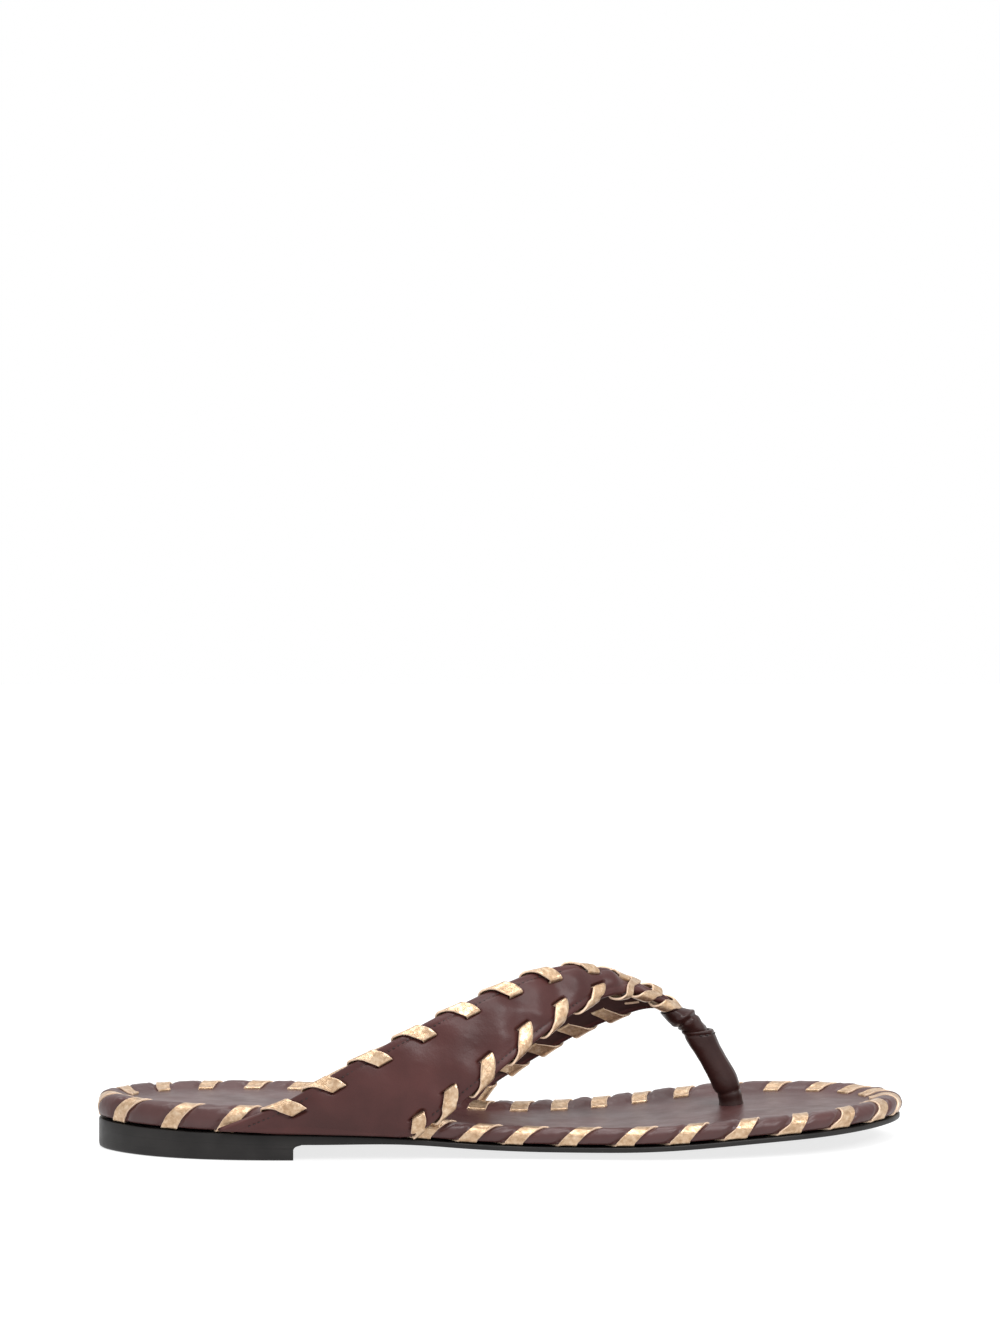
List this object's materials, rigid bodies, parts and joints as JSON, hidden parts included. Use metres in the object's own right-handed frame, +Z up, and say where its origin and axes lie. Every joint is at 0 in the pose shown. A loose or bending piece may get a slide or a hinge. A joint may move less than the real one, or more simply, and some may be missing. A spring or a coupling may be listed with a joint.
{
  "type": "flip flop",
  "caption": "Right-foot flat leather thong sandal with a padded laced rim, two laced strap halves that meet at a toe post, a thin outsole and a low heel.",
  "frame": {"origin": "on the ground under the middle of the sole's length and width", "axes": "+X along the sole from heel to toe, +Y to the inner side of the foot (big toe), +Z up"},
  "size_m": [0.2579, 0.0835, 0.0585],
  "materials": {
    "black_rubber": "matte",
    "black_leather": "satin",
    "brown_leather": "satin",
    "brown_lining": "matte",
    "gold_lace": "satin",
    "fibre_board": "matte",
    "foam": "matte",
    "felt": "matte",
    "cotton": "matte",
    "steel": "brushed"
  },
  "bodies": {
    "root": {"outsole": "black_leather", "heel_block": "black_leather", "heel_top_lift": "black_rubber", "bottom_filler": "felt", "insole_board": "fibre_board", "footbed_foam": "foam", "footbed_cover": "brown_leather", "rim_filler": "foam", "shank": "steel", "heel_nail_1": "steel", "heel_nail_2": "steel", "heel_nail_3": "steel", "heel_nail_4": "steel", "rim_lace_toe": "gold_lace", "rim_lace_heel": "gold_lace", "lateral_strap": "brown_leather", "lateral_strap_lining": "brown_lining", "lateral_strap_tape": "cotton", "medial_strap": "brown_leather", "medial_strap_lining": "brown_lining", "medial_strap_tape": "cotton", "lateral_rear_lace": "gold_lace", "lateral_front_lace": "gold_lace", "medial_rear_lace": "gold_lace", "medial_front_lace": "gold_lace", "toe_post_wrap": "brown_leather", "toe_post_core": "cotton", "thong_collar": "brown_leather", "toe_post_anchor": "cotton"}
  },
  "joints": []
}
